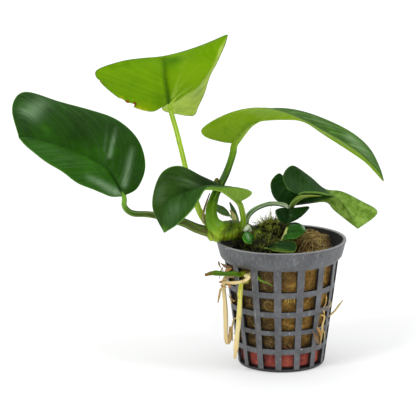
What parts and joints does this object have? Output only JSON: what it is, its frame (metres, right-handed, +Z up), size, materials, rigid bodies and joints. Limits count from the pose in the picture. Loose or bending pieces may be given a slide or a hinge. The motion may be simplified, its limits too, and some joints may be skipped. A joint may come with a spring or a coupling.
{
  "type": "potted anubias plant",
  "caption": "Anubias plant with broad leaves on petioles from a creeping rhizome, in a tapered lattice net pot filled with mineral wool, with moss on top and roots hanging outside.",
  "frame": {"origin": "centre of the pot base, on its underside", "axes": "+Z up along the pot axis, front of the plant towards -Y, +X to the right seen from the front"},
  "size_m": [0.1545, 0.0566, 0.1412],
  "materials": {
    "plastic": "moulded grey polypropylene, satin, slightly mottled",
    "clay": "unglazed fired red clay, matte",
    "wool": "tan-brown mineral wool, coarse fibres, damp dark streaks",
    "old_leaf": "dark green leaf, waxy upper side, soft gloss",
    "new_leaf": "young yellow-green leaf, thin and translucent, satin",
    "stem": "smooth green petiole and rhizome skin, satin",
    "dry": "dry papery sheath, brown to straw",
    "root": "cream to yellow root skin, smooth",
    "moss": "yellow-green moss strands over dark ones"
  },
  "bodies": {
    "root": {"net_pot": "plastic", "clay_disc": "clay", "wool_plug": "wool", "rhizome": "stem", "left_blade": "old_leaf", "left_petiole": "stem", "top_blade": "new_leaf", "top_petiole": "stem", "arching_blade": "old_leaf", "arching_petiole": "stem", "front_blade": "old_leaf", "front_petiole": "stem", "folded_blade": "old_leaf", "folded_petiole": "stem", "dark_blade": "old_leaf", "dark_petiole": "stem", "glossy_blade": "old_leaf", "glossy_petiole": "stem", "rim_blade": "old_leaf", "rim_petiole": "stem", "back_blade": "old_leaf", "back_petiole": "stem", "young_blade": "new_leaf", "young_petiole": "stem", "young_spike": "old_leaf", "dry_sheath": "dry", "sheath_stub": "dry", "brown_membrane": "dry", "green_shoot": "root", "loop_root": "root", "long_root": "root", "hooked_root": "root", "short_root": "root", "thin_root": "root", "straw_root": "root", "tendril_root": "root", "wall_root": "root", "moss": "moss"}
  },
  "joints": []
}
